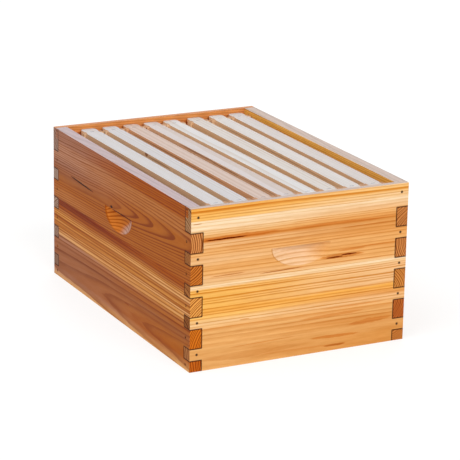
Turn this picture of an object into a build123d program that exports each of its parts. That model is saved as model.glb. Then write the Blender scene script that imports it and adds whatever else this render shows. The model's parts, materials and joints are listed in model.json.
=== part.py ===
from build123d import *
import math
import os

# A deep hive body for eight frames: an open box of finger-jointed boards, with eight
# wooden frames hanging in it by their lugs. Millimetres. X runs across the box, Y along
# it with the front panel at -Y, Z up, and the origin is the centre of the bottom rim.

# ---- the box ----
LENGTH = 504.8                  # outside, front to back
WIDTH = 355.6                   # outside, side to side
HEIGHT = 244.5
BOARD = 19.05                   # thickness of every board

# ---- finger joints, the same at all four corners ----
SIDE_FOOT = 16.7                # bottom finger of the side panels
END_FINGER = 18.25              # finger of the front and back panels
SIDE_FINGER = 29.6              # finger of the side panels
PITCH = END_FINGER + SIDE_FINGER
FULL_PITCHES = 4                # above them the front and back run up to the rim
GLUE_LINE = SIDE_FOOT + 2 * PITCH + END_FINGER      # each panel is two boards, edge to edge

# ---- ledge that the frames hang on, cut in the front and back panels ----
LEDGE_WIDTH = 9.5
LEDGE_DEPTH = 15.9

# ---- hand-holds, one scooped in each panel ----
HOLD_TOP = 170.3                # its flat upper edge
HOLD_HEIGHT = 31.0
HOLD_WIDTH = 98.4
HOLD_DEPTH = 12.0
HOLD_BELLY = (0.85, 0.54)       # the scoop is 85% of its depth at 54% of its height

# ---- corner nails ----
NAIL_LENGTH = 38.0
NAIL_RADIUS = 0.9
NAIL_HEAD_RADIUS = 1.35
NAIL_HEAD_THICK = 1.0
NAIL_SUNK = 0.8                 # the head sits this far below the wood's face
NAIL_CLEARANCE = 0.05
NAIL_INSET_END = 11.3           # from the box's outer side face, on the front and back
NAIL_INSET_SIDE = 14.1          # from the box's outer end face, on the sides
TOP_NAIL_DROP = 13.5            # from the rim to the top nail of the front and back

# ---- frames ----
BAR_LENGTH = 482.6
BAR_WIDTH = 25.6
BAR_DEPTH = 19.0
BAR_NECK = 22.0                 # top bar's width where the end bars grip it
LUG_WIDTH = 24.8
LUG_DEPTH = 9.5
LUG_ROUND = 6.0
END_BAR_THICK = 9.5
END_BAR_WIDTH = 34.4
END_BAR_HEIGHT = 231.8
END_BAR_SPAN = 447.7            # over the outer faces of the two end bars
SHOULDER_HEIGHT = 86.0          # the wide upper part, which spaces the frames
SHOULDER_TAPER = 10.0
END_BAR_WAIST = 28.6            # width below the shoulders
BOTTOM_BAR_WIDTH = 19.0
BOTTOM_BAR_DEPTH = 9.5
GROOVE_WIDTH = 3.2              # for the foundation, in the top and bottom bars
TOP_GROOVE = 6.4
BOTTOM_GROOVE = 4.8
SHEET_THICK = 2.0
SHEET_LENGTH = 427.0
SHEET_GAP = 0.6                 # between the sheet and the top of the upper groove

# ---- staples ----
STAPLE_CROWN = 7.0
STAPLE_OFFSET = 3.0             # they are driven this far behind the end bars' centre lines
STAPLE_WIRE = 1.2
STAPLE_LEG = 30.0
BOTTOM_STAPLE_LEG = 22.0

# Each frame's place: the centre line's X and its turn about Z in degrees. The frames
# hang loose on the ledges, so they stand a little unevenly and not quite parallel.
FRAME_PLACES = [(-123.0, 0.32), (-85.6, 0.37), (-47.9, 0.67), (-10.9, 0.92),
                (24.2, 0.92), (63.4, -0.06), (102.6, -0.16), (138.5, -0.2)]

BAR_TOP_Z = HEIGHT - LEDGE_DEPTH + LUG_DEPTH
END_INNER_SPAN = END_BAR_SPAN - 2 * END_BAR_THICK

os.makedirs("parts", exist_ok=True)


def save(piece, name):
    """Label a finished piece and write it as its own file."""
    piece.part.label = name
    export_step(piece.part, f"parts/{name}.step")


# ---------------------------------------------------------------- the box's layout

# Planes on the outer faces: local x runs along the panel, local y is the height.
FACES = {
    "front": Plane(origin=(0, -LENGTH / 2, 0), x_dir=(1, 0, 0), z_dir=(0, -1, 0)),
    "back": Plane(origin=(0, LENGTH / 2, 0), x_dir=(-1, 0, 0), z_dir=(0, 1, 0)),
    "left": Plane(origin=(-WIDTH / 2, 0, 0), x_dir=(0, -1, 0), z_dir=(-1, 0, 0)),
    "right": Plane(origin=(WIDTH / 2, 0, 0), x_dir=(0, 1, 0), z_dir=(1, 0, 0)),
}
PANEL_LENGTH = {"front": WIDTH, "back": WIDTH, "left": LENGTH, "right": LENGTH}

# Heights of the fingers, low and high, from the bottom rim up.
END_FINGERS = [(SIDE_FOOT + i * PITCH, SIDE_FOOT + i * PITCH + END_FINGER) for i in range(FULL_PITCHES)]
END_FINGERS.append((SIDE_FOOT + FULL_PITCHES * PITCH, HEIGHT))
SIDE_FINGERS = [(0, SIDE_FOOT)]
SIDE_FINGERS += [(high, high + SIDE_FINGER) for low, high in END_FINGERS[:FULL_PITCHES]]
FINGERS = {"front": END_FINGERS, "back": END_FINGERS, "left": SIDE_FINGERS, "right": SIDE_FINGERS}

# Heights of the nails: in the middle of each finger, and near the rim in the top one.
END_NAILS = [(low + high) / 2 for low, high in END_FINGERS[:FULL_PITCHES]] + [HEIGHT - TOP_NAIL_DROP]
SIDE_NAILS = [(low + high) / 2 for low, high in SIDE_FINGERS]


def nail_points(side):
    """Where the nails enter a panel's outer face, on that face's own plane."""
    if side in ("front", "back"):
        heights, reach = END_NAILS, WIDTH / 2 - NAIL_INSET_END
    else:
        heights, reach = SIDE_NAILS, LENGTH / 2 - NAIL_INSET_SIDE
    return [(sign * reach, z) for z in heights for sign in (-1, 1)]


def nail_shapes(side, clearance, mode):
    """Add the nails of one outer face, or cut their holes where there is clearance."""
    face = FACES[side]
    head_face = face if clearance else face.offset(-NAIL_SUNK)
    head_length = NAIL_HEAD_THICK + (NAIL_SUNK if clearance else 0)
    with BuildSketch(head_face) as heads:
        with Locations(*nail_points(side)):
            Circle(NAIL_HEAD_RADIUS + clearance)
    extrude(heads.sketch, amount=-head_length, mode=mode)
    with BuildSketch(face.offset(-NAIL_SUNK - NAIL_HEAD_THICK)) as shanks:
        with Locations(*nail_points(side)):
            Circle(NAIL_RADIUS + clearance)
    extrude(shanks.sketch, amount=-(NAIL_LENGTH - NAIL_HEAD_THICK), mode=mode)


def cut_hand_hold(side):
    """Scoop a hand-hold: a flat ledge above, and a belly that a round cutter leaves."""
    axis_out = ((HOLD_WIDTH / 2) ** 2 - HOLD_DEPTH ** 2) / (2 * HOLD_DEPTH)
    face = FACES[side]
    section = Plane(origin=face.origin, x_dir=face.z_dir, z_dir=-face.x_dir)
    low = HOLD_TOP - HOLD_HEIGHT
    belly = (-HOLD_BELLY[0] * HOLD_DEPTH, low + HOLD_BELLY[1] * HOLD_HEIGHT)
    with BuildSketch(section) as scoop:
        with BuildLine():
            ThreePointArc((0, low), belly, (-HOLD_DEPTH, HOLD_TOP))
            Polyline((-HOLD_DEPTH, HOLD_TOP), (axis_out, HOLD_TOP), (axis_out, low), (0, low))
        make_face()
    cutter_axis = Axis(face.origin + face.z_dir * axis_out, (0, 0, 1))
    revolve(scoop.sketch, axis=cutter_axis, mode=Mode.SUBTRACT)


def make_board(side, low, high):
    """One board of a panel, between two heights, with its share of the fingers."""
    face = FACES[side]
    core = PANEL_LENGTH[side] - 2 * BOARD
    is_end = side in ("front", "back")
    with BuildPart() as board:
        with BuildSketch(face):
            with Locations((0, (low + high) / 2)):
                Rectangle(core, high - low)
            for finger_low, finger_high in FINGERS[side]:
                if finger_low >= low and finger_high <= high:
                    with Locations((0, (finger_low + finger_high) / 2)):
                        Rectangle(PANEL_LENGTH[side], finger_high - finger_low)
            if not is_end and high == HEIGHT:
                with Locations((0, HEIGHT - LEDGE_DEPTH / 2)):
                    Rectangle(core + 2 * LEDGE_WIDTH, LEDGE_DEPTH)
        extrude(amount=-BOARD)
        if is_end and high == HEIGHT:
            with BuildSketch(face.offset(-BOARD)):
                with Locations((0, HEIGHT - LEDGE_DEPTH / 2)):
                    Rectangle(WIDTH, LEDGE_DEPTH)
            extrude(amount=LEDGE_WIDTH, mode=Mode.SUBTRACT)
        if high == HEIGHT:
            cut_hand_hold(side)
        for nailed in FACES:
            nail_shapes(nailed, NAIL_CLEARANCE, Mode.SUBTRACT)
    return board


for side in FACES:
    save(make_board(side, 0, GLUE_LINE), f"{side}_lower_board")
    save(make_board(side, GLUE_LINE, HEIGHT), f"{side}_upper_board")

with BuildPart() as corner_nails:
    for side in FACES:
        nail_shapes(side, 0, Mode.ADD)
save(corner_nails, "corner_nails")


# ---------------------------------------------------------------- one frame's pieces

def staple_shapes(seat, drop, direction, leg, mode):
    """The staple over each end bar, driven along local z from the height of drop."""
    reach = (END_BAR_SPAN - END_BAR_THICK) / 2
    spots = [(0, STAPLE_OFFSET - reach), (0, STAPLE_OFFSET + reach)]
    with BuildSketch(seat.offset(drop)) as crowns:
        with Locations(*spots):
            Rectangle(STAPLE_CROWN, STAPLE_WIRE)
    extrude(crowns.sketch, amount=direction * STAPLE_WIRE, mode=mode)
    with BuildSketch(seat.offset(drop)) as legs:
        with Locations(*spots):
            with GridLocations(STAPLE_CROWN - STAPLE_WIRE, 0, 2, 1):
                Rectangle(STAPLE_WIRE, STAPLE_WIRE)
    extrude(legs.sketch, amount=direction * leg, mode=mode)


def all_staples(seat, mode):
    """The staples in the top bar and those in the bottom bar."""
    staple_shapes(seat, 0, -1, STAPLE_LEG, mode)
    staple_shapes(seat, -END_BAR_HEIGHT, 1, BOTTOM_STAPLE_LEG, mode)


def make_top_bar(seat):
    """Grooved bar, narrowed where the end bars grip it, with a thin lug at each end."""
    lug_length = (BAR_LENGTH - END_BAR_SPAN) / 2
    with BuildPart() as bar:
        with BuildSketch(seat):
            Rectangle(BAR_WIDTH, END_INNER_SPAN)
            Rectangle(BAR_NECK, END_BAR_SPAN)
        extrude(amount=-BAR_DEPTH)
        with BuildSketch(seat):
            with Locations((0, (BAR_LENGTH - lug_length) / 2), (0, -(BAR_LENGTH - lug_length) / 2)):
                Rectangle(LUG_WIDTH, lug_length)
        extrude(amount=-LUG_DEPTH)
        ends = bar.faces().filter_by(lambda face: abs(face.normal_at().dot(seat.y_dir)) > 0.99)
        tips = ends.sort_by(lambda face: abs((face.center() - seat.origin).dot(seat.y_dir)))[-2:]
        fillet(tips.edges().filter_by(Axis.Z), radius=LUG_ROUND)
        with BuildSketch(seat.offset(-BAR_DEPTH)):
            Rectangle(GROOVE_WIDTH, END_INNER_SPAN)
        extrude(amount=TOP_GROOVE, mode=Mode.SUBTRACT)
        all_staples(seat, Mode.SUBTRACT)
    return bar


def make_end_bar(seat, direction):
    """Upright with a fork for the top bar, spacing shoulders, and a notch below."""
    outer = Plane(origin=seat.origin + seat.y_dir * (direction * END_BAR_SPAN / 2),
                  x_dir=seat.x_dir * -direction, z_dir=seat.y_dir * direction)
    shoulder, waist = END_BAR_WIDTH / 2, END_BAR_WAIST / 2
    fork, notch = BAR_NECK / 2, BOTTOM_BAR_WIDTH / 2
    bottom_notch = -END_BAR_HEIGHT + BOTTOM_BAR_DEPTH
    with BuildPart() as upright:
        with BuildSketch(outer):
            with BuildLine():
                Polyline((0, -BAR_DEPTH), (fork, -BAR_DEPTH), (fork, 0), (shoulder, 0),
                         (shoulder, -SHOULDER_HEIGHT), (waist, -SHOULDER_HEIGHT - SHOULDER_TAPER),
                         (waist, -END_BAR_HEIGHT), (notch, -END_BAR_HEIGHT),
                         (notch, bottom_notch), (0, bottom_notch))
                mirror(about=Plane.YZ)
            make_face()
        extrude(amount=-END_BAR_THICK)
        all_staples(seat, Mode.SUBTRACT)
    return upright


def make_bottom_bar(seat):
    """Thin bar let into the end bars' notches, grooved on top for the foundation."""
    with BuildPart() as bar:
        with BuildSketch(seat.offset(-END_BAR_HEIGHT)):
            Rectangle(BOTTOM_BAR_WIDTH, END_BAR_SPAN)
        extrude(amount=BOTTOM_BAR_DEPTH)
        with BuildSketch(seat.offset(-END_BAR_HEIGHT + BOTTOM_BAR_DEPTH)):
            Rectangle(GROOVE_WIDTH, END_INNER_SPAN)
        extrude(amount=-BOTTOM_GROOVE, mode=Mode.SUBTRACT)
        all_staples(seat, Mode.SUBTRACT)
    return bar


def make_foundation(seat):
    """Flat sheet that stands in the two grooves, for the bees to build comb on."""
    low = -END_BAR_HEIGHT + BOTTOM_BAR_DEPTH - BOTTOM_GROOVE
    high = -BAR_DEPTH + TOP_GROOVE - SHEET_GAP
    with BuildPart() as sheet:
        with BuildSketch(seat.offset(low)):
            Rectangle(SHEET_THICK, SHEET_LENGTH)
        extrude(amount=high - low)
    return sheet


def make_staples(seat):
    """Four staples, two in the top bar and two in the bottom bar."""
    with BuildPart() as staples:
        all_staples(seat, Mode.ADD)
    return staples


for number, (place, turn) in enumerate(FRAME_PLACES, start=1):
    along = (math.cos(math.radians(turn)), math.sin(math.radians(turn)), 0)
    seat = Plane(origin=(place, 0, BAR_TOP_Z), x_dir=along, z_dir=(0, 0, 1))
    save(make_top_bar(seat), f"frame_{number}_top_bar")
    save(make_end_bar(seat, -1), f"frame_{number}_front_end_bar")
    save(make_end_bar(seat, 1), f"frame_{number}_back_end_bar")
    save(make_bottom_bar(seat), f"frame_{number}_bottom_bar")
    save(make_foundation(seat), f"frame_{number}_foundation")
    save(make_staples(seat), f"frame_{number}_staples")
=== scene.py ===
"""Looks of the wooden beehive body with its eight frames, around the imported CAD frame.

Lengths in the materials are in millimetres, and those of the scene itself in metres.
"""

import json
import math

import bpy
import numpy as np
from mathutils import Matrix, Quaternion, Vector

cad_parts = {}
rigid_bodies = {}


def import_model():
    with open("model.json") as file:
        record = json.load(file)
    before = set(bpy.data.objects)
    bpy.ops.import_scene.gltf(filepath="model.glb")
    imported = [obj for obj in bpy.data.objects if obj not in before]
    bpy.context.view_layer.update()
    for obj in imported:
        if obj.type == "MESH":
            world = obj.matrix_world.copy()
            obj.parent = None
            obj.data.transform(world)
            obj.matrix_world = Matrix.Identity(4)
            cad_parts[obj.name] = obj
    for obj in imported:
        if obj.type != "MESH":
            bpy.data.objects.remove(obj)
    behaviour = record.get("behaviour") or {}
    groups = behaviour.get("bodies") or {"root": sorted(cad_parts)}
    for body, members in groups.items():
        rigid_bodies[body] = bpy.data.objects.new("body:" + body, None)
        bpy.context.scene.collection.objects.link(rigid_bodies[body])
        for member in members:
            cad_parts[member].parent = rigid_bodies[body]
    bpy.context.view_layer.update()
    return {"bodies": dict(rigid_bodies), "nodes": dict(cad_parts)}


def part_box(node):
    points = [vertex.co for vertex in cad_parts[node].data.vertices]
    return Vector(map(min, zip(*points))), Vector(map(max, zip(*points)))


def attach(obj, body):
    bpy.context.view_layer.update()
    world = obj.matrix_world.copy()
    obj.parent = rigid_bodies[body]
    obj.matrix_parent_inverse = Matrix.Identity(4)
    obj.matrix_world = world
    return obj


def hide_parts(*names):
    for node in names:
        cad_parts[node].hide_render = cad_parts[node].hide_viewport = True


MM = 0.001

# ---------------------------------------------------------------- the frame

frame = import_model()
nodes = frame["nodes"]
FRAMES = sorted(body for body in frame["bodies"] if body.startswith("frame_"))

hive_low, hive_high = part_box("left_upper_board")
HALF_LENGTH = hive_high.y / MM
HALF_WIDTH = -hive_low.x / MM
BOARD = (hive_high.x - hive_low.x) / MM
HEIGHT = hive_high.z / MM

# ---------------------------------------------------------------- camera, light and floor

# Lengths here are in metres.
CAMERA_AZIMUTH, CAMERA_ELEVATION, CAMERA_ROLL = -27.03, 17.05, 1.04  # degrees
CAMERA_DISTANCE, CAMERA_LENS = 3.5066, 176.98
CAMERA_TARGET = Vector((0.0124, 0.0, 0.1201))
WORLD_LIGHT, BACKDROP = 0.36, 1.0  # strength of the surroundings as a light, and in the picture
FLOOR_SIZE, FLOOR_DROP = 30.0, 0.0004  # the floor is just under the hive's feet
FLOOR_GREY, FLOOR_GLOW = 0.32, 0.7


def direction(azimuth, elevation):
    """The unit vector towards a viewer at that azimuth and elevation, in degrees.

    Azimuth 0 is in front of the hive, and 90 is at its right.
    """
    a, e = math.radians(azimuth), math.radians(elevation)
    return Vector((math.sin(a) * math.cos(e), -math.cos(a) * math.cos(e), math.sin(e)))


def make_camera():
    camera = bpy.data.objects.new("camera", bpy.data.cameras.new("camera"))
    bpy.context.scene.collection.objects.link(camera)
    back = direction(CAMERA_AZIMUTH, CAMERA_ELEVATION)
    camera.data.lens = CAMERA_LENS
    camera.location = CAMERA_TARGET + CAMERA_DISTANCE * back
    camera.rotation_mode = "QUATERNION"
    roll = Quaternion((0, 0, 1), math.radians(CAMERA_ROLL))
    camera.rotation_quaternion = (-back).to_track_quat("-Z", "Y") @ roll
    bpy.context.scene.camera = camera


def make_softbox(name, azimuth, elevation, spread, strength):
    """A broad soft light from far away, as even over the floor as over the hive.

    Its spread is in degrees.
    """
    lamp = bpy.data.lights.new(name, "SUN")
    lamp.angle = math.radians(spread)
    lamp.energy = strength
    light = bpy.data.objects.new(name, lamp)
    bpy.context.scene.collection.objects.link(light)
    light.rotation_mode = "QUATERNION"
    light.rotation_quaternion = (-direction(azimuth, elevation)).to_track_quat("-Z", "Y")


def make_studio():
    make_softbox("key_softbox", azimuth=2, elevation=34, spread=34, strength=1.7)
    make_softbox("side_softbox", azimuth=-82, elevation=50, spread=50, strength=1.45)
    make_softbox("back_softbox", azimuth=150, elevation=30, spread=40, strength=0.6)
    world = bpy.data.worlds.new("studio")
    world.use_nodes = True
    background = world.node_tree.nodes["Background"]
    background.inputs["Color"].default_value = (1.0, 1.0, 1.0, 1)
    # the backdrop is white, and the light that it gives is dimmer
    rays = world.node_tree.nodes.new("ShaderNodeLightPath")
    strength = world.node_tree.nodes.new("ShaderNodeMapRange")
    strength.inputs["To Min"].default_value = WORLD_LIGHT
    strength.inputs["To Max"].default_value = BACKDROP
    world.node_tree.links.new(rays.outputs["Is Camera Ray"], strength.inputs["Value"])
    world.node_tree.links.new(strength.outputs["Result"], background.inputs["Strength"])
    bpy.context.scene.world = world
    bpy.context.scene.view_settings.view_transform = "Standard"


# ---------------------------------------------------------------- arithmetic on material nodes


class Field:
    """A value that varies over a surface. Arithmetic on it adds Math nodes to its tree."""

    def __init__(self, tree, socket):
        self.tree = tree
        self.socket = socket

    def __add__(self, other):
        return self.tree.math("ADD", self, other)

    def __sub__(self, other):
        return self.tree.math("SUBTRACT", self, other)

    def __rsub__(self, other):
        return self.tree.math("SUBTRACT", other, self)

    def __mul__(self, other):
        return self.tree.math("MULTIPLY", self, other)

    def __truediv__(self, other):
        return self.tree.math("DIVIDE", self, other)

    __radd__ = __add__
    __rmul__ = __mul__


class Tree:
    """Short calls that build a Principled material's nodes."""

    def __init__(self, name):
        self.material = bpy.data.materials.new(name)
        self.material.use_nodes = True
        self.nodes = self.material.node_tree.nodes
        self.links = self.material.node_tree.links
        self.shader = self.nodes["Principled BSDF"]

    def feed(self, socket, value):
        if isinstance(value, Field):
            self.links.new(value.socket, socket)
        elif isinstance(value, (tuple, list)) and len(value) == 3 and socket.type == "RGBA":
            socket.default_value = (*value, 1)
        else:
            socket.default_value = value

    def add(self, kind, inputs, output=0, **settings):
        node = self.nodes.new(kind)
        for name, value in settings.items():
            setattr(node, name, value)
        for name, value in inputs.items():
            self.feed(node.inputs[name], value)
        return Field(self, node.outputs[output])

    def math(self, operation, *values, clamp=False):
        inputs = dict(enumerate(values))
        return self.add("ShaderNodeMath", inputs, operation=operation, use_clamp=clamp)

    def point(self, x, y, z):
        return self.add("ShaderNodeCombineXYZ", {0: x, 1: y, 2: z})

    def split(self, vector):
        node = self.nodes.new("ShaderNodeSeparateXYZ")
        self.feed(node.inputs[0], vector)
        return [Field(self, output) for output in node.outputs]

    def coordinates(self, output="Object"):
        return self.add("ShaderNodeTexCoord", {}, output)

    def noise(self, vector, detail=2.0, roughness=0.5):
        """Noise about zero, mostly between -1 and 1, with features about one unit in size."""
        inputs = {"Vector": vector, "Scale": 1.0, "Detail": detail, "Roughness": roughness}
        return (self.add("ShaderNodeTexNoise", inputs, "Fac") - 0.5) * 3.0

    def chance(self, value):
        """A fixed random number from 0 to 1 for each whole number."""
        return self.add("ShaderNodeTexWhiteNoise", {"W": value}, "Value", noise_dimensions="1D")

    def step(self, value, low, high):
        """Rises smoothly from 0 at low to 1 at high."""
        inputs = {"Value": value, "From Min": low, "From Max": high, "To Min": 0.0, "To Max": 1.0}
        return self.add("ShaderNodeMapRange", inputs, interpolation_type="SMOOTHSTEP")

    def mix(self, share, first, second, blend="MIX"):
        """A colour between two, by share."""
        node = self.nodes.new("ShaderNodeMix")
        node.data_type = "RGBA"
        node.blend_type = blend
        self.feed(node.inputs[0], share)
        self.feed(node.inputs[6], first)
        self.feed(node.inputs[7], second)
        return Field(self, node.outputs[2])

    def tint(self, colour, by):
        """The product of two colours."""
        return self.mix(1.0, colour, by, "MULTIPLY")

    def ramp(self, value, stops):
        """A colour by value, from (place, colour) stops in rising order."""
        low, high = stops[0][0], stops[-1][0]
        node = self.nodes.new("ShaderNodeValToRGB")
        self.feed(node.inputs[0], (value - low) / (high - low))
        elements = node.color_ramp.elements
        while len(elements) < len(stops):
            elements.new(0.5)
        for element, (place, _) in zip(elements, stops):
            element.position = (place - low) / (high - low)
        for element, (_, colour) in zip(elements, stops):
            element.color = (*colour, 1)
        return Field(self, node.outputs[0])

    def finish(self, colour, roughness, bump, distance, **constants):
        """Connects the shader. The constants are its other inputs, by name with _ for a space."""
        normal = self.add("ShaderNodeBump", {"Strength": 1.0, "Distance": distance, "Height": bump})
        self.feed(self.shader.inputs["Base Color"], colour)
        self.feed(self.shader.inputs["Roughness"], roughness)
        self.feed(self.shader.inputs["Normal"], normal)
        for name, value in constants.items():
            self.feed(self.shader.inputs[name.replace("_", " ")], value)
        return self.material


def make_floor():
    """A pale floor that glows a little, so that shadows on it are faint, except inside the hive."""
    bpy.ops.mesh.primitive_plane_add(size=FLOOR_SIZE, location=(0, 0, -FLOOR_DROP))
    floor = bpy.context.object
    floor.name = "floor"
    tree = Tree("floor")
    x, y, z = tree.split(tree.coordinates())
    beside = tree.math("ABSOLUTE", x / HALF_WIDTH)
    before = tree.math("ABSOLUTE", y / HALF_LENGTH)
    glow = tree.step(tree.math("MAXIMUM", beside, before), 0.95 * MM, MM)
    tree.feed(tree.shader.inputs["Emission Strength"], glow * FLOOR_GLOW)
    tree.feed(tree.shader.inputs["Emission Color"], (1.0, 1.0, 1.0))
    tree.feed(tree.shader.inputs["Base Color"], (FLOOR_GREY, FLOOR_GREY, FLOOR_GREY))
    tree.feed(tree.shader.inputs["Roughness"], 0.9)
    tree.feed(tree.shader.inputs["Specular IOR Level"], 0.1)
    floor.data.materials.append(tree.material)


# ---------------------------------------------------------------- colours


def linear(red, green, blue, light=1.0, sheen=0.0):
    """The surface colour that shows as this screen colour, 0 to 255.

    A white surface under a light of 1 shows as white. The sheen is what gloss adds.
    """
    seen = [((value / 255 + 0.055) / 1.055) ** 2.4 for value in (red, green, blue)]
    return tuple(max(0.005, value - sheen) / light for value in seen)


def sunny(red, green, blue):
    """The surface colour that shows as this screen colour on the front wall."""
    return linear(red, green, blue, 1.2, 0.002)


def shaded(red, green, blue):
    """The surface colour that shows as this screen colour on the left wall."""
    return linear(red, green, blue, 1.1, 0.010)


CREAM = sunny(250, 219, 178)
STRAW = sunny(243, 199, 144)
GOLD = sunny(243, 181, 90)
HONEY = sunny(247, 188, 102)
AMBER = sunny(241, 171, 78)
PEACH = sunny(239, 188, 133)
TAN = sunny(237, 176, 108)
GINGER = sunny(228, 158, 86)
TOFFEE = sunny(226, 164, 97)
SPICE = sunny(218, 148, 76)
RUST = sunny(216, 136, 62)

# MAUVE and ROSE, the paler and bluer colours towards the back of the left wall, are partly the
# wood's colour and partly painted sheen
MAUVE = shaded(164, 113, 90)
ROSE = shaded(179, 126, 98)
UMBER = shaded(160, 101, 69)
DUSK = shaded(158, 94, 54)
CHESTNUT = shaded(168, 88, 30)
COPPER = shaded(172, 98, 42)
SIENNA = shaded(182, 114, 62)
WALNUT = shaded(136, 62, 24)
OCHRE = shaded(203, 136, 68)
SAND = shaded(219, 162, 102)

# these replace the wood's colour
CRACK = (0.035, 0.012, 0.005)
JOINT = linear(58, 24, 10)
# the top edges' pale mauve-grey: partly the sawn wood, partly painted sheen
CUT_TOP = linear(211, 190, 178, 1.15)

# these multiply it
AMBER_STAIN = (0.86, 0.62, 0.38)
RESIN = (0.27, 0.10, 0.05)
EARLYWOOD = (1.05, 1.05, 1.05)
LATEWOOD = (0.62, 0.42, 0.26)
GOLDEN_LATEWOOD = (0.78, 0.52, 0.22)
END_LATEWOOD = (0.36, 0.21, 0.12)

# ---------------------------------------------------------------- waxed fir

# Where the features of a wall are. Each pair is the start and the end of a smooth step.
HOLD_ENDS = (56.0, 57.0)  # from mid-length, just past the hand-hold
HOLD_BACK = (13.0, 14.0)  # depth, just past the hand-hold
HOLD_TOP = (195.0, 200.0)  # height, between the hand-hold and the ledge
HOLD_EDGE = (0.1, 0.8)  # depth, where the hand-hold begins
HOLD_OUTLINE = (0.8, 1.8)  # depth, where its dark outline ends; the outline is partly cutter scorch and partly painted shadow
OUTLINE_FADE = (141.0, 151.0)  # height, where the outline grows from nothing, so that it lies along the upper part, under the edge that casts shadow
HIGHLIGHT_ENDS, HIGHLIGHT_BACK = (-24.0, 2.0), (6.5, 9.5)  # along and depth, where the painted highlight at the low end of the hand-hold ends
LEDGE_FOOT, LEDGE_BACK = (222.0, 226.0), (5.0, 8.0)  # height and depth of the wall over the ledge
LEDGE_PAINTED_SHADE = (229.0, 237.0)  # height, where the painted shade in the corner over the ledge ends
INNER_FACE = (15.0, 18.0)  # depth
TOP_EDGE = (240.0, 243.0)  # height

# Finger joints: the heights at which the first and last fingers of the front and the back begin,
# the height of one of their fingers, and the distance from finger to finger.
FIRST_FINGER, LAST_FINGER, FINGER, PITCH = 16.7, 208.1, 18.25, 47.85
LAST_LINE = (212.0, 214.0)  # height, over which no line crosses the fingers
FRONT_NAIL_INSET, SIDE_NAIL_INSET, TOP_NAIL_DROP = 11.3, 14.1, 13.5
FAR = 100.0  # beyond any stain


def board_coordinates(tree, wall):
    """(along, depth, up) in millimetres, and the normal's shares along the wall and upwards.

    The depth is inward from the wall's outer face.
    """
    x, y, up = tree.split(tree.coordinates())
    normal_x, normal_y, normal_up = tree.split(tree.coordinates("Normal"))
    x, y, up = x / MM, y / MM, up / MM
    along, depth, end_normal = {
        "front": (x, y + HALF_LENGTH, normal_x),
        "back": (x * -1.0, HALF_LENGTH - y, normal_x),
        "left": (y, x + HALF_WIDTH, normal_y),
        "right": (y * -1.0, HALF_WIDTH - x, normal_y),
    }[wall]
    return along, depth, up, end_normal, normal_up


def growth_rings(
    tree, along, depth, up, pith_height, pith_depth, pith_climb, pith_run, gap, seed, level_from
):
    """(how dark the latewood is here, distance from the pith) in a board sawn from a log.

    The pith passes through (pith_height, pith_depth) at mid-length. For each millimetre along the
    board it climbs by pith_climb and gets deeper by pith_run, which stops at level_from.
    """
    slow = tree.point(along / 260.0, up / 34.0 + seed, depth / 34.0)
    quick = tree.point(along / 32.0, up / 6.0 + seed, depth / 6.0)
    wander = tree.noise(slow, 1.0) * 2.2 + tree.noise(quick, 2.0) * 0.32
    across = up - pith_height - along * pith_climb + wander
    inward = depth - pith_depth - tree.math("MINIMUM", along, level_from) * pith_run + wander * 0.6
    radius = tree.math("SQRT", across * across + inward * inward)
    uneven = tree.noise(tree.point(radius / 11.0, seed, 0.0), 1.0) * 0.8
    ring = radius / gap + uneven
    phase = tree.math("FRACT", ring)
    rise = tree.step(phase, 0.3, 0.88)
    fall = 1.0 - tree.step(phase, 0.93, 1.0)
    strength = tree.chance(tree.math("FLOOR", ring)) * 0.6 + 0.4
    return rise * rise * fall * strength, radius


def dark_marks(tree, along, depth, up, marks):
    """How dark the resin streaks, knots and cracks on the outer face make it.

    Each is (along, up, half length, half height, rise, strength). A strength over 1 is a crack.
    """
    ragged = tree.noise(tree.point(along / 14.0, up / 2.5, 0.0), 3.0, 0.6)
    total = None
    for mark_along, mark_up, half_length, half_height, rise, strength in marks:
        offset = along - mark_along
        beside = offset / half_length
        level = (up - mark_up - offset * rise + ragged * half_height * 0.4) / half_height
        inside = tree.math("SUBTRACT", 1.0, beside * beside + level * level, clamp=True)
        spot = tree.math("MULTIPLY", inside, 2.6, clamp=True) * strength
        total = spot if total is None else tree.math("MAXIMUM", total, spot)
    near_face = 1.0 - tree.step(depth, 3.0, 9.0)
    return total * near_face


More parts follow.
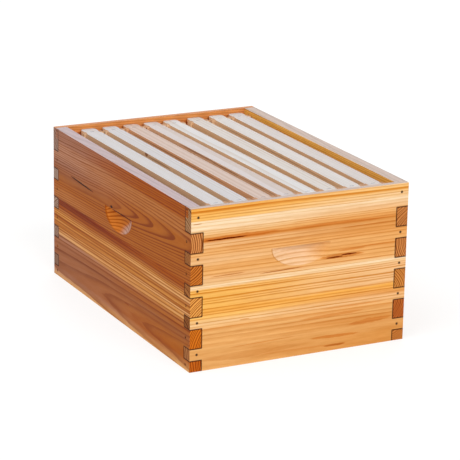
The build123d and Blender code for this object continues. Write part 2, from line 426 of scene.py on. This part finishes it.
def joint_lines(tree, wall, along, depth, up, half_run, at_end):
    """(gaps of the finger joints, stains round the nails), each from 0 to 1.

    The gaps are on a wall's outer face and on the end grain of its fingers.
    """
    end_wall = wall in ("front", "back")

    def line(distance):
        return 1.0 - tree.step(tree.math("ABSOLUTE", distance), 0.4, 1.4)

    stage = tree.math("FLOORED_MODULO", up - FIRST_FINGER, PITCH)
    level = tree.math("MINIMUM", stage, tree.math("ABSOLUTE", stage - FINGER))
    level = tree.math("MINIMUM", level, PITCH - stage)
    across = line(level) * (1.0 - tree.step(up, *LAST_LINE))
    beyond = tree.step(up, LAST_FINGER - 0.1, LAST_FINGER)
    end_wall_finger = tree.math("MAXIMUM", 1.0 - tree.step(stage, FINGER - 0.1, FINGER), beyond)
    cut_off = 1.0 - end_wall_finger if end_wall else end_wall_finger
    shoulder = tree.math("ABSOLUTE", along) - (half_run - BOARD)
    past_shoulder = across * tree.step(shoulder, -0.8, -0.2)
    on_face = tree.math("MAXIMUM", past_shoulder, line(shoulder) * cut_off)
    outer_face = 1.0 - tree.step(depth, 0.5, 2.0)
    on_face = on_face * outer_face
    on_end = tree.math("MAXIMUM", across, line(depth - BOARD))
    gaps = on_face * (1.0 - at_end) + on_end * at_end

    # a nail is in the middle of each finger, but the top one of the front and the back is higher
    if end_wall:
        lower = tree.math("ABSOLUTE", stage - FINGER / 2) + beyond * FAR
        level = tree.math("MINIMUM", lower, tree.math("ABSOLUTE", up - (HEIGHT - TOP_NAIL_DROP)))
        beside = tree.math("ABSOLUTE", along) - (half_run - FRONT_NAIL_INSET)
    else:
        below = 1.0 - tree.step(up, FIRST_FINGER - 0.1, FIRST_FINGER)
        upper = tree.math("ABSOLUTE", stage - (FINGER + PITCH) / 2) + below * FAR
        level = tree.math("MINIMUM", upper, tree.math("ABSOLUTE", up - FIRST_FINGER / 2))
        beside = tree.math("ABSOLUTE", along) - (half_run - SIDE_NAIL_INSET)
    distance = tree.math("SQRT", level * level + beside * beside)
    stain = (1.0 - tree.step(distance, 1.3, 2.8)) * (1.0 - at_end) * outer_face
    return gaps, stain


def waxed_fir(
    name, wall, seed, pith, gap, bands, marks, end_grain, inside, hold, hold_plain=1.0,
    hold_fade=(0.0, 45.0), hold_highlight=None, turn=None, contrast=1.2, lines=None, streaks=1.0,
    level_from=1000.0, rim=CUT_TOP, latewood=LATEWOOD,
):
    """One board's wood, dipped in beeswax.

    pith, gap, level_from: the growth rings, as in growth_rings
    latewood, contrast: the rings' tint and strength
    streaks: strength of the long streaks that follow the rings
    lines: (height, strength) of the rings, from the bottom up
    bands: (height, colour at the low end of along, colour at the high end), from the bottom up
    turn: the stretch of along in which the bands go from one colour to the other
    marks: as in dark_marks
    inside, rim: colours of the inner face and of the sawn top edge
    end_grain: (height, colour), from the bottom up
    hold: colour in the hand-hold, which fades over the hold_fade stretch of along
    hold_plain: 1 keeps the face's rings in the hand-hold, and 0 shows the deeper ones
    torn: colour of a painted highlight, a pale crescent at the low end of the hand-hold
    """
    tree = Tree(name)
    along, depth, up, end_normal, normal_up = board_coordinates(tree, wall)
    half_run = HALF_WIDTH if wall in ("front", "back") else HALF_LENGTH
    recess = tree.step(depth, *HOLD_EDGE) * (1.0 - tree.step(depth, *HOLD_BACK))
    recess = recess * (1.0 - tree.step(tree.math("ABSOLUTE", along), *HOLD_ENDS))
    recess = recess * (1.0 - tree.step(up, *HOLD_TOP))
    ring_depth = depth * (1.0 - recess * hold_plain)
    late, radius = growth_rings(tree, along, ring_depth, up, *pith, gap, seed, level_from)

    # the broad bands of heartwood and sapwood
    drift = tree.noise(tree.point(along / 120.0, up / 20.0, seed), 2.0) * 2.0
    level = up + drift
    low_end = tree.ramp(level, [(height, low) for height, low, high in bands])
    high_end = tree.ramp(level, [(height, high) for height, low, high in bands])
    sway = tree.noise(tree.point(along / 90.0, up / 9.0, seed + 3.0), 2.0) * 40.0
    turn = turn or (-half_run, half_run)
    # on the left wall, the colours towards its back end are partly painted sheen
    flat = tree.mix(tree.step(along + sway, *turn), low_end, high_end)

    # the recessed hand-hold and the inner face show deeper wood; on the right wall the inner face's
    # brightness is partly painted light
    in_hold = recess * (1.0 - tree.step(along, *hold_fade))
    # the hand-hold's dark outline: partly cutter scorch, partly painted shadow under its upper edge
    outline = in_hold * (1.0 - tree.step(depth, *HOLD_OUTLINE)) * tree.step(up, *OUTLINE_FADE)
    flat = tree.mix(in_hold * 0.85, flat, hold)
    # a painted highlight: a pale crescent on the curved end of the hand-hold
    if hold_highlight:
        end_of_hold = (1.0 - tree.step(along, *HIGHLIGHT_ENDS)) * (1.0 - tree.step(depth, *HIGHLIGHT_BACK))
        flat = tree.mix(in_hold * end_of_hold * 0.85, flat, hold_highlight)
    over_ledge = tree.step(depth, *LEDGE_BACK) * tree.step(up, *LEDGE_FOOT)
    flat = tree.mix(tree.math("MAXIMUM", tree.step(depth, *INNER_FACE), over_ledge), flat, inside)

    # growth rings, blotches and fibres, and the painted shade of the hand-hold's outline and of the
    # ledge's corner
    deep = tree.tint(flat, latewood)
    flat = tree.tint(flat, EARLYWOOD)
    patchy = tree.noise(tree.point(along / 150.0, up / 14.0, seed + 9.0), 2.0) * 0.4 + 0.85
    if lines:
        patchy = patchy * tree.ramp(up, [(height, (strength,) * 3) for height, strength in lines])
    # painted shade in the corner of the ledge, behind the frames' lugs
    ledge = over_ledge * (1.0 - tree.step(up, *LEDGE_PAINTED_SHADE))
    flat = tree.mix(late * patchy * contrast + outline * 1.1 + ledge * 0.9, flat, deep)
    blotch = tree.noise(tree.point(along / 60.0, up / 6.0, depth / 6.0), 4.0, 0.65)
    fibre = tree.noise(tree.point(along / 26.0, up / 1.9, depth / 1.9), 4.0, 0.75)
    streak = tree.noise(tree.point(along / 200.0, radius / 2.0, seed), 3.0, 0.75) * streaks
    # how much each of the three varies red, green and blue
    shares = (0.075, 0.075, 0.05), (0.13, 0.125, 0.11), (0.20, 0.18, 0.20)
    shade = [1.0 + blotch * b + fibre * f + streak * s for b, f, s in shares]
    flat = tree.tint(flat, tree.point(*shade))
    marked = dark_marks(tree, along, depth, up, marks)
    flat = tree.mix(tree.step(marked, 0.0, 0.45), flat, tree.tint(flat, AMBER_STAIN))
    flat = tree.mix(tree.step(marked, 0.35, 0.95), flat, tree.tint(flat, RESIN))
    flat = tree.mix(tree.step(marked, 1.0, 1.3), flat, CRACK)

    # end grain: rings cut across, darker and rougher
    pores = tree.noise(tree.point(along / 2.0, up / 0.8, depth / 0.8), 3.0, 0.7)
    cut = tree.ramp(up, end_grain)
    share = tree.math("ADD", late * 2.2, pores * 0.2 + 0.04, clamp=True)
    cut = tree.mix(share, cut, tree.tint(cut, END_LATEWOOD))
    at_end = tree.step(tree.math("ABSOLUTE", end_normal), 0.6, 0.85)
    colour = tree.mix(at_end, flat, cut)

    # the top edge is paler, partly the sawn wood and partly painted sheen, and the joints are dark
    uneven = 1.0 + fibre * 0.09 + blotch * 0.07 - late * 0.22
    sawn = tree.tint(rim, tree.point(uneven, uneven, uneven))
    colour = tree.mix(tree.step(normal_up, 0.7, 0.9) * tree.step(up, *TOP_EDGE), colour, sawn)
    gaps, stain = joint_lines(tree, wall, along, depth, up, half_run, at_end)
    colour = tree.mix(tree.math("MAXIMUM", gaps * 0.9, stain * 0.8), colour, JOINT)

    roughness = tree.math("ADD", fibre * 0.05 + late * -0.08, at_end * 0.2 + 0.42)
    bump = fibre * 0.35 + late * 0.6 - marked * 1.5 - gaps * 3.0 + at_end * pores * 0.8
    return tree.finish(colour, roughness, bump, 0.00006, Specular_IOR_Level=0.02)


# pith: height, depth (negative is outside the wall), and how it climbs and deepens along the board.
# A band's height is where its colours are reached, and colours blend from band to band.
BOARDS = {
    "front_upper_board": dict(
        wall="front", seed=1.3, pith=(96.0, 78.0, 0.0, 0.004), gap=3.7,
        bands=[
            (131, STRAW, STRAW), (136, PEACH, TAN), (146, TAN, TAN), (156, TAN, GINGER),
            (166, PEACH, TAN), (178, TAN, GINGER), (190, PEACH, SPICE), (193.5, RUST, SPICE),
            (196, RUST, RUST), (198.5, GINGER, GINGER), (201, TAN, GINGER), (206, STRAW, TAN),
            (213, CREAM, PEACH), (224, CREAM, CREAM), (226.5, HONEY, STRAW), (231, HONEY, STRAW),
            (237, AMBER, HONEY), (244.5, AMBER, STRAW),
        ],
        marks=[
            (-122, 195.2, 38, 1.5, 0.004, 1.0), (-100, 197, 70, 3.4, 0.0, 0.35),
            (60, 196, 90, 2.8, -0.01, 0.22), (56, 144.4, 16, 1.4, 0.006, 1.02),
            (80, 146.6, 15, 1.4, 0.006, 1.02), (68, 145.4, 40, 3.4, 0.006, 0.5),
            (84, 153.5, 26, 2.0, 0.02, 0.3), (-118, 140.5, 30, 0.9, 0.01, 0.55),
            (-32, 135.8, 38, 0.9, 0.02, 0.65), (75, 224.5, 60, 0.6, 0.0, 0.4),
            (100, 136, 70, 0.5, 0.0, 0.35), (-168, 221.5, 8, 0.7, 0.0, 0.6),
            (120, 188, 60, 1.4, 0.01, 0.25), (20, 206, 40, 0.8, 0.01, 0.3),
            (130, 156, 40, 1.0, 0.0, 0.3),
        ],
        end_grain=[
            (131, shaded(176, 118, 70)), (180, shaded(176, 116, 68)), (215, shaded(182, 138, 98)),
            (244.5, shaded(176, 136, 98)),
        ],
        inside=sunny(225, 140, 70), hold=sunny(248, 208, 166), contrast=1.55,
        lines=[(131, 0.8), (150, 0.65), (200, 0.65), (220, 0.5), (226, 0.85), (244.5, 0.85)],
        streaks=1.5, latewood=GOLDEN_LATEWOOD,
    ),
    "front_lower_board": dict(
        wall="front", seed=4.1, pith=(14.0, 52.0, 0.0, 0.003), gap=4.4,
        bands=[
            (0, TAN, SPICE), (7, TOFFEE, SPICE), (18, TOFFEE, SPICE), (30, TOFFEE, TOFFEE),
            (42, TAN, SPICE), (53, TOFFEE, TOFFEE), (62, TAN, TAN), (72, STRAW, PEACH),
            (80, HONEY, GINGER), (90, AMBER, AMBER), (96, GOLD, PEACH), (104, GOLD, PEACH),
            (114, GOLD, PEACH), (120, GOLD, PEACH), (123, HONEY, PEACH), (126, CREAM, STRAW),
            (131, STRAW, CREAM),
        ],
        marks=[
            (60, 8.0, 20, 1.8, 0.0, 0.55), (55, 55.5, 60, 2.5, 0.02, 0.3),
            (-90, 69.5, 9, 0.8, 0.0, 0.45), (60, 22, 45, 2.6, -0.02, 0.35),
            (175.6, 12.6, 1.8, 2.6, 0.0, 1.0), (120, 38, 42, 4.0, 0.05, 0.3),
            (0, 10, 70, 1.6, -0.01, 0.2), (-60, 30, 60, 1.0, 0.02, 0.3),
            (90, 66, 60, 1.2, 0.0, 0.3),
        ],
        end_grain=[
            (0, shaded(182, 122, 76)), (40, shaded(182, 122, 76)), (70, shaded(150, 94, 54)),
            (131, shaded(176, 114, 64)),
        ],
        inside=sunny(222, 142, 72), hold=PEACH, contrast=1.55,
        lines=[(0, 0.5), (60, 0.5), (78, 0.85), (96, 1.0), (101, 1.3), (123, 1.3), (128, 0.5)],
        streaks=2.0, latewood=GOLDEN_LATEWOOD,
    ),
    "left_upper_board": dict(
        wall="left", seed=7.7, pith=(180.0, -18.0, -0.045, 0.042), gap=3.4,
        bands=[
            (131, CHESTNUT, DUSK), (136, COPPER, SIENNA), (142, COPPER, SIENNA),
            (158, COPPER, COPPER), (172, COPPER, DUSK), (182, COPPER, UMBER), (194, COPPER, MAUVE),
            (203, SIENNA, ROSE), (213, SIENNA, ROSE), (221, SIENNA, ROSE), (227, CHESTNUT, MAUVE),
            (244.5, CHESTNUT, MAUVE),
        ],
        marks=[
            (138, 179.4, 48, 1.35, 0.033, 1.5), (24, 173.5, 4.5, 2.4, 0.0, 1.3),
            (-14, 171.0, 40, 1.1, -0.012, 1.1), (60, 131.4, 190, 1.2, 0.006, 0.5),
        ],
        end_grain=[
            (131, sunny(214, 124, 48)), (160, sunny(214, 126, 50)), (178, sunny(222, 146, 82)),
            (244.5, sunny(226, 152, 88)),
        ],
        # the pale crescent in the hand-hold is a painted highlight
        inside=OCHRE, hold=shaded(214, 126, 54), hold_plain=0.4, hold_highlight=shaded(200, 164, 152),
        hold_fade=(60.0, 70.0), turn=(-100.0, 240.0), contrast=1.7, streaks=1.6, level_from=25.0,
        # a pale mauve-grey top edge, partly painted sheen
        rim=linear(202, 182, 184, 1.15),
    ),
    "left_lower_board": dict(
        wall="left", seed=11.2, pith=(22.0, 75.0, 0.0, 0.015), gap=3.2,
        bands=[
            (0, SAND, SAND), (11, SIENNA, ROSE), (18, CHESTNUT, UMBER), (34, COPPER, UMBER),
            (50, DUSK, UMBER), (62, COPPER, UMBER), (70, SIENNA, ROSE), (74, OCHRE, SAND),
            (77, SAND, SAND), (81, OCHRE, SIENNA), (84, SAND, OCHRE), (88, SAND, COPPER),
            (91, COPPER, OCHRE), (94, OCHRE, OCHRE), (99, OCHRE, COPPER), (102, SIENNA, COPPER),
            (105, SAND, OCHRE), (109, SAND, OCHRE), (113, OCHRE, SIENNA), (118, SIENNA, CHESTNUT),
            (123, CHESTNUT, WALNUT), (131, CHESTNUT, WALNUT),
        ],
        marks=[
            (80, 128.5, 170, 2.2, 0.012, 0.45), (-34, 36, 9, 1.6, 0.0, 0.35),
        ],
        end_grain=[
            (0, sunny(204, 104, 30)), (17, sunny(204, 104, 30)), (35, sunny(222, 120, 32)),
            (64, sunny(222, 124, 36)), (83, sunny(244, 170, 84)), (131, sunny(240, 164, 80)),
        ],
        inside=OCHRE, hold=shaded(205, 124, 58), contrast=1.8,
        lines=[(0, 0.8), (20, 0.6), (58, 0.7), (68, 1.4), (112, 1.7), (118, 1.3), (131, 1.0)],
        streaks=2.4,
    ),
    "back_upper_board": dict(
        wall="back", seed=15.9, pith=(170.0, -30.0, 0.02, 0.03), gap=3.6,
        bands=[
            (131, TAN, STRAW), (150, TAN, TAN), (168, GINGER, TAN), (186, TAN, PEACH),
            (204, GINGER, TAN), (222, AMBER, TAN), (230, HONEY, HONEY), (244.5, AMBER, AMBER),
        ],
        marks=[
            (-70, 150, 40, 1.0, 0.01, 0.7), (96, 214, 26, 0.8, 0.0, 0.5),
        ],
        end_grain=[
            (131, shaded(178, 148, 130)), (170, shaded(182, 158, 144)),
            (244.5, shaded(164, 128, 112)),
        ],
        inside=sunny(240, 160, 92), hold=sunny(248, 196, 136), hold_plain=0.6,
        hold_fade=(20.0, 55.0), rim=linear(220, 152, 104, 1.15),
    ),
    "back_lower_board": dict(
        wall="back", seed=19.4, pith=(30.0, 70.0, -0.01, -0.012), gap=3.3,
        bands=[
            (0, TAN, GINGER), (20, GINGER, TAN), (40, PEACH, TAN), (60, TAN, GINGER),
            (82, HONEY, AMBER), (100, TAN, HONEY), (118, PEACH, STRAW), (131, STRAW, PEACH),
        ],
        marks=[
            (30, 44, 30, 1.2, 0.01, 0.6),
        ],
        end_grain=[(0, shaded(158, 122, 102)), (131, shaded(176, 146, 128))],
        inside=sunny(220, 142, 74), hold=PEACH,
    ),
    "right_upper_board": dict(
        wall="right", seed=23.8, pith=(150.0, -22.0, 0.02, -0.03), gap=3.2,
        bands=[
            (131, GINGER, RUST), (150, TAN, GINGER), (170, GINGER, GINGER), (190, TAN, TAN),
            (210, GINGER, TAN), (228, RUST, GINGER), (244.5, GINGER, GINGER),
        ],
        marks=[
            (-90, 196, 60, 0.9, 0.01, 0.6), (130, 160, 5, 3.5, 0.0, 0.9),
        ],
        end_grain=[(131, sunny(216, 140, 76)), (244.5, sunny(214, 138, 72))],
        # the inner face's bright gold is partly painted light, where the inside of the hive is in
        # shade
        inside=linear(236, 176, 84), hold=sunny(250, 198, 138), hold_plain=0.0,
        hold_fade=(25.0, 55.0),
    ),
    "right_lower_board": dict(
        wall="right", seed=29.5, pith=(70.0, 48.0, 0.0, 0.016), gap=3.0,
        bands=[
            (0, GINGER, TAN), (24, RUST, GINGER), (48, GINGER, GINGER), (72, TAN, AMBER),
            (90, AMBER, HONEY), (110, GINGER, TAN), (131, RUST, GINGER),
        ],
        marks=[
            (40, 96, 50, 1.2, -0.01, 0.5),
        ],
        end_grain=[
            (0, sunny(216, 136, 66)), (17, sunny(214, 132, 62)), (38, sunny(200, 108, 48)),
            (62, sunny(200, 110, 48)), (84, sunny(222, 146, 70)), (131, sunny(218, 140, 68)),
        ],
        # the inner face's bright gold is partly painted light, where the inside of the hive is in
        # shade
        inside=linear(236, 176, 84), hold=TAN,
    ),
}


EASED_EDGE, WELD_DISTANCE = 0.0004, 0.00001  # metres


def ease_edges(node):
    """Joins the split vertices of a CAD node and softens its edges, as a sander leaves them."""
    weld = node.modifiers.new("weld", "WELD")
    weld.merge_threshold = WELD_DISTANCE
    bevel = node.modifiers.new("bevel", "BEVEL")
    bevel.width = EASED_EDGE
    bevel.segments = 2
    bevel.limit_method = "ANGLE"
    bevel.angle_limit = math.radians(40)
    bevel.harden_normals = False


def paint(node, material):
    node.data.materials.clear()
    node.data.materials.append(material)


def finish_boards():
    for name, board in BOARDS.items():
        paint(nodes[name], waxed_fir(name, **board))
        ease_edges(nodes[name])


# ---------------------------------------------------------------- pale pine of the frames

# the tops' pale grey is partly the pine's colour and partly painted sheen; the sides' orange is
# partly painted bounce light from the waxed walls
PINE = linear(216, 211, 208, 1.15)
PINE_SIDE = linear(228, 189, 147)
PINE_END, PINE_END_LINE = linear(176, 118, 66), linear(120, 72, 34)
PINE_LATEWOOD, PINE_KNOT = (0.78, 0.66, 0.52), (0.42, 0.28, 0.20)  # these multiply the colour
# (height, tint) of painted shade down the bars' sides, darkest in the gaps between the top bars
PAINTED_GAP_SHADE = [(180.0, (1.0, 1.0, 1.0)), (219.0, (0.74, 0.69, 0.65)), (236.0, (1.0, 1.0, 1.0))]
# a tint for each frame, from the left wall to the right one
FRAME_TINTS = [
    (0.99, 1.01, 1.06), (0.96, 0.98, 1.04), (0.98, 0.79, 0.70), (1.00, 0.94, 0.95),
    (1.07, 1.09, 1.12), (1.03, 1.00, 0.97), (1.06, 1.06, 1.07), (1.00, 0.98, 0.99),
]
# knots and dark grain on the left sides of some top bars, in the form that dark_marks takes
KNOTS = {
    "frame_1": [(90, 233, 46, 1.0, 0.0, 0.6), (10, 230, 60, 0.8, 0.0, 0.5)],
    "frame_2": [(70, 236, 6, 3.5, 0.0, 1.0), (25, 234, 44, 1.6, 0.0, 0.6)],
    "frame_3": [(40, 234, 190, 1.2, 0.0, 0.6)],
    "frame_4": [
        (40, 236, 70, 1.6, 0.0, 0.7), (-50, 235, 50, 1.2, 0.0, 0.8), (-150, 235, 70, 1.0, 0.0, 0.6),
    ],
    "frame_7": [(0, 234, 210, 1.2, 0.0, 0.45)],
}


def pale_pine(name, grain, tint, seed, knots=()):
    """Raw planed pine.

    grain: the axis that its fibres follow, y for top and bottom bars and z for end bars
    tint: multiplies the pine's colours
    knots: marks on the left side, in dark_marks' form with y for along and z for up
    """
    tree = Tree(name)
    x, y, z = tree.split(tree.coordinates())
    normal = tree.split(tree.coordinates("Normal"))
    x, y, z = x / MM, y / MM, z / MM
    along, across, up = (y, x, z) if grain == "y" else (z, x, y)
    end_normal = normal[1] if grain == "y" else normal[2]
    drift = tree.noise(tree.point(along / 160.0, across / 9.0, up / 9.0 + seed), 2.0) * 0.8
    across, deep = across + drift + along * 0.012, up + drift * 0.5 + seed * 7.0
    radius = tree.math("SQRT", across * across * 1.6 + deep * deep)
    ring = radius / 2.1 + tree.noise(tree.point(radius / 9.0, seed, 0.0), 1.0) * 0.6
    phase = tree.math("FRACT", ring)
    late = tree.step(phase, 0.4, 0.92) * (1.0 - tree.step(phase, 0.94, 1.0))
    late = late * (tree.chance(tree.math("FLOOR", ring)) * 0.7 + 0.3)
    fibre = tree.noise(tree.point(along / 40.0, across / 1.1, up / 1.1), 4.0, 0.75)
    blotch = tree.noise(tree.point(along / 60.0, across / 8.0, up / 8.0 + seed), 2.0)
    face = tuple(base * share for base, share in zip(PINE, tint))
    side = tuple(base * share for base, share in zip(PINE_SIDE, tint))
    # tops take the pale colour with its painted sheen, sides the orange one with its painted bounce
    # light
    top = tree.step(normal[2], 0.5, 0.9) if grain == "y" else 0.0
    flat = tree.mix(top, side, face)
    if grain == "y":
        # painted shade in the gaps between the top bars
        flat = tree.tint(flat, tree.ramp(z, PAINTED_GAP_SHADE))
    flat = tree.mix(late * 0.75, flat, tree.tint(flat, PINE_LATEWOOD))
    # how much the two vary red, green and blue
    shares = (0.10, 0.03), (0.11, 0.035), (0.12, 0.045)
    flat = tree.tint(flat, tree.point(*[1.0 + fibre * f + blotch * b for f, b in shares]))
    if knots:
        marked = dark_marks(tree, y, 0.0, z, knots) * tree.step(normal[0] * -1.0, 0.3, 0.7)
        flat = tree.mix(marked, flat, tree.tint(flat, PINE_KNOT))
    at_end = tree.step(tree.math("ABSOLUTE", end_normal), 0.6, 0.85)
    colour = tree.mix(at_end * 0.8, flat, tree.mix(late, PINE_END, PINE_END_LINE))
    roughness = tree.math("ADD", fibre * 0.05, 0.6)
    return tree.finish(colour, roughness, fibre * 0.4 + late * 0.35, 0.00005)


def finish_frames():
    for number, body in enumerate(FRAMES):
        tint = FRAME_TINTS[number]
        bars = pale_pine(f"{body}_bars", "y", tint, 3.1 + 1.7 * number, KNOTS.get(body, ()))
        ends = pale_pine(f"{body}_ends", "z", tint, 9.4 + 2.3 * number)
        woods = {"top_bar": bars, "bottom_bar": bars, "front_end_bar": ends, "back_end_bar": ends}
        for part, wood in woods.items():
            paint(nodes[f"{body}_{part}"], wood)
            ease_edges(nodes[f"{body}_{part}"])


# ---------------------------------------------------------------- embossed wax foundation

# Lengths of the mesh are in metres.
CELL_SIDE = 0.00306  # of a worker cell, 5.3 mm across its flats
RIDGE, PIT, MARGIN = 0.00095, 0.0003, 0.0006  # distances from the sheet's middle plane
# the pits are darker than the ridges: painted shade in the cells
WAX_PIT, WAX_RIDGE = linear(176, 104, 24), linear(250, 206, 112)


def beeswax():
    tree = Tree("beeswax")
    x, y, z = tree.split(tree.coordinates())
    x, y, z = x / MM, y / MM, z / MM
    cloud = tree.noise(tree.point(y / 45.0, z / 45.0, x / 45.0), 3.0, 0.6)
    bloom = tree.noise(tree.point(y / 3.0, z / 3.0, x / 3.0), 3.0, 0.6)
    relief = tree.add("ShaderNodeAttribute", {}, "Fac", attribute_name="relief")
    # the pits are painted darker than the ridges: painted shade in the cells
    share = tree.math("ADD", cloud * 0.3 + bloom * 0.12, relief * 0.9, clamp=True)
    colour = tree.mix(share, WAX_PIT, WAX_RIDGE)
    roughness = tree.math("ADD", bloom * 0.06, 0.38)
    return tree.finish(
        colour, roughness, bloom, 0.00003,
        Subsurface_Weight=0.15, Subsurface_Radius=(0.004, 0.002, 0.0008), Subsurface_Scale=1.0,
    )


def sheet_axes(node):
    """Where a flat upright CAD sheet is.

    Gives its middle, the unit vectors along it and out of it, its length and its height.
    """
    points = np.array([vertex.co for vertex in node.data.vertices])
    middle = (points.min(0) + points.max(0)) / 2
    flat = points[:, :2] - middle[:2]
    along = np.linalg.svd(flat, full_matrices=False)[2][0]
    along = along if along[1] > 0 else -along
    along = np.array([along[0], along[1], 0.0])
    outward = np.array([along[1], -along[0], 0.0])
    length = 2 * np.abs(flat @ along[:2]).max()
    height = points[:, 2].max() - points[:, 2].min()
    return middle, along, outward, length, height


def comb_side(columns, rows, length, height, side):
    """Points (along, outward, up) of one embossed face.

    They make hexagons, with ridges at the corners and a pit in each middle.
    """
    points = []
    for column in range(columns + 1):
        along = length * (column / columns - 0.5)
        for row in range(rows + 1):
            shift = 0.5 if column % 2 and 0 < row < rows else 0.0
            up = height * ((row + shift) / rows - 0.5)
            at_edge = column in (0, columns) or row in (0, rows)
            middle_of_cell = (row + 2 * (column % 2) + (2 if side < 0 else 0)) % 3 == 0
            level = MARGIN if at_edge else PIT if middle_of_cell else RIDGE
            points.append((along, side * level, up))
    return points


def comb_faces(columns, rows, offset, side):
    """Triangles between the points of one embossed face. The first point has the number offset."""
    faces = []
    for column in range(columns):
        for row in range(rows):
            a = offset + column * (rows + 1) + row
            b, c, d = a + 1, a + rows + 1, a + rows + 2
            pair = [(a, c, b), (b, c, d)] if column % 2 == 0 else [(a, c, d), (a, d, b)]
            faces += pair if side > 0 else [face[::-1] for face in pair]
    return faces


def emboss_foundation(body, wax):
    """A pressed sheet of wax with its hexagons, where the CAD frame has a plain sheet."""
    node = nodes[f"{body}_foundation"]
    middle, along, outward, length, height = sheet_axes(node)
    columns = int(length / (CELL_SIDE * math.sqrt(3) / 2))
    rows = int(height / CELL_SIDE)
    count = (columns + 1) * (rows + 1)
    points = comb_side(columns, rows, length, height, 1)
    points += comb_side(columns, rows, length, height, -1)
    faces = comb_faces(columns, rows, 0, 1) + comb_faces(columns, rows, count, -1)
    rim = [column * (rows + 1) for column in range(columns)]
    rim += [columns * (rows + 1) + row for row in range(rows)]
    rim += [column * (rows + 1) + rows for column in range(columns, 0, -1)]
    rim += [row for row in range(rows, 0, -1)]
    for first, second in zip(rim, rim[1:] + rim[:1]):
        faces.append((first, first + count, second + count, second))
    local = np.array(points)
    placed = middle + np.outer(local[:, 0], along) + np.outer(local[:, 1], outward)
    placed[:, 2] += local[:, 2]
    mesh = bpy.data.meshes.new(f"{body}_comb")
    mesh.from_pydata(placed.tolist(), [], faces)
    mesh.validate()
    # 0 in the pits and 1 on the ridges, for the material
    relief = mesh.attributes.new("relief", "FLOAT", "POINT")
    relief.data.foreach_set("value", (np.abs(local[:, 1]) - PIT) / (RIDGE - PIT))
    comb = bpy.data.objects.new(f"{body}_comb", mesh)
    bpy.context.scene.collection.objects.link(comb)
    mesh.materials.append(wax)
    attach(comb, body)
    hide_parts(node.name)


def make_foundations():
    wax = beeswax()
    for body in FRAMES:
        emboss_foundation(body, wax)


# ---------------------------------------------------------------- nails and staples

STAIN_SIZE = 0.0015  # metres


def steel(name, bright, dull, roughness):
    """Wire steel with a drawn, lightly stained surface."""
    tree = Tree(name)
    x, y, z = tree.split(tree.coordinates())
    stain = tree.noise(tree.point(x / STAIN_SIZE, y / STAIN_SIZE, z / STAIN_SIZE), 3.0, 0.6)
    share = tree.math("ADD", stain * 0.4, 0.4, clamp=True)
    colour = tree.mix(share, bright, dull)
    rough = tree.math("ADD", stain * 0.1, roughness)
    return tree.finish(colour, rough, stain, 0.00002, Metallic=0.85)


def finish_steel():
    paint(nodes["corner_nails"], steel("nail_steel", linear(70, 54, 46), linear(40, 26, 20), 0.55))
    staples = steel("staple_steel", linear(76, 92, 128), linear(46, 54, 72), 0.4)
    for body in FRAMES:
        paint(nodes[f"{body}_staples"], staples)


# ---------------------------------------------------------------- the scene

make_camera()
make_studio()
make_floor()
finish_boards()
finish_frames()
make_foundations()
finish_steel()
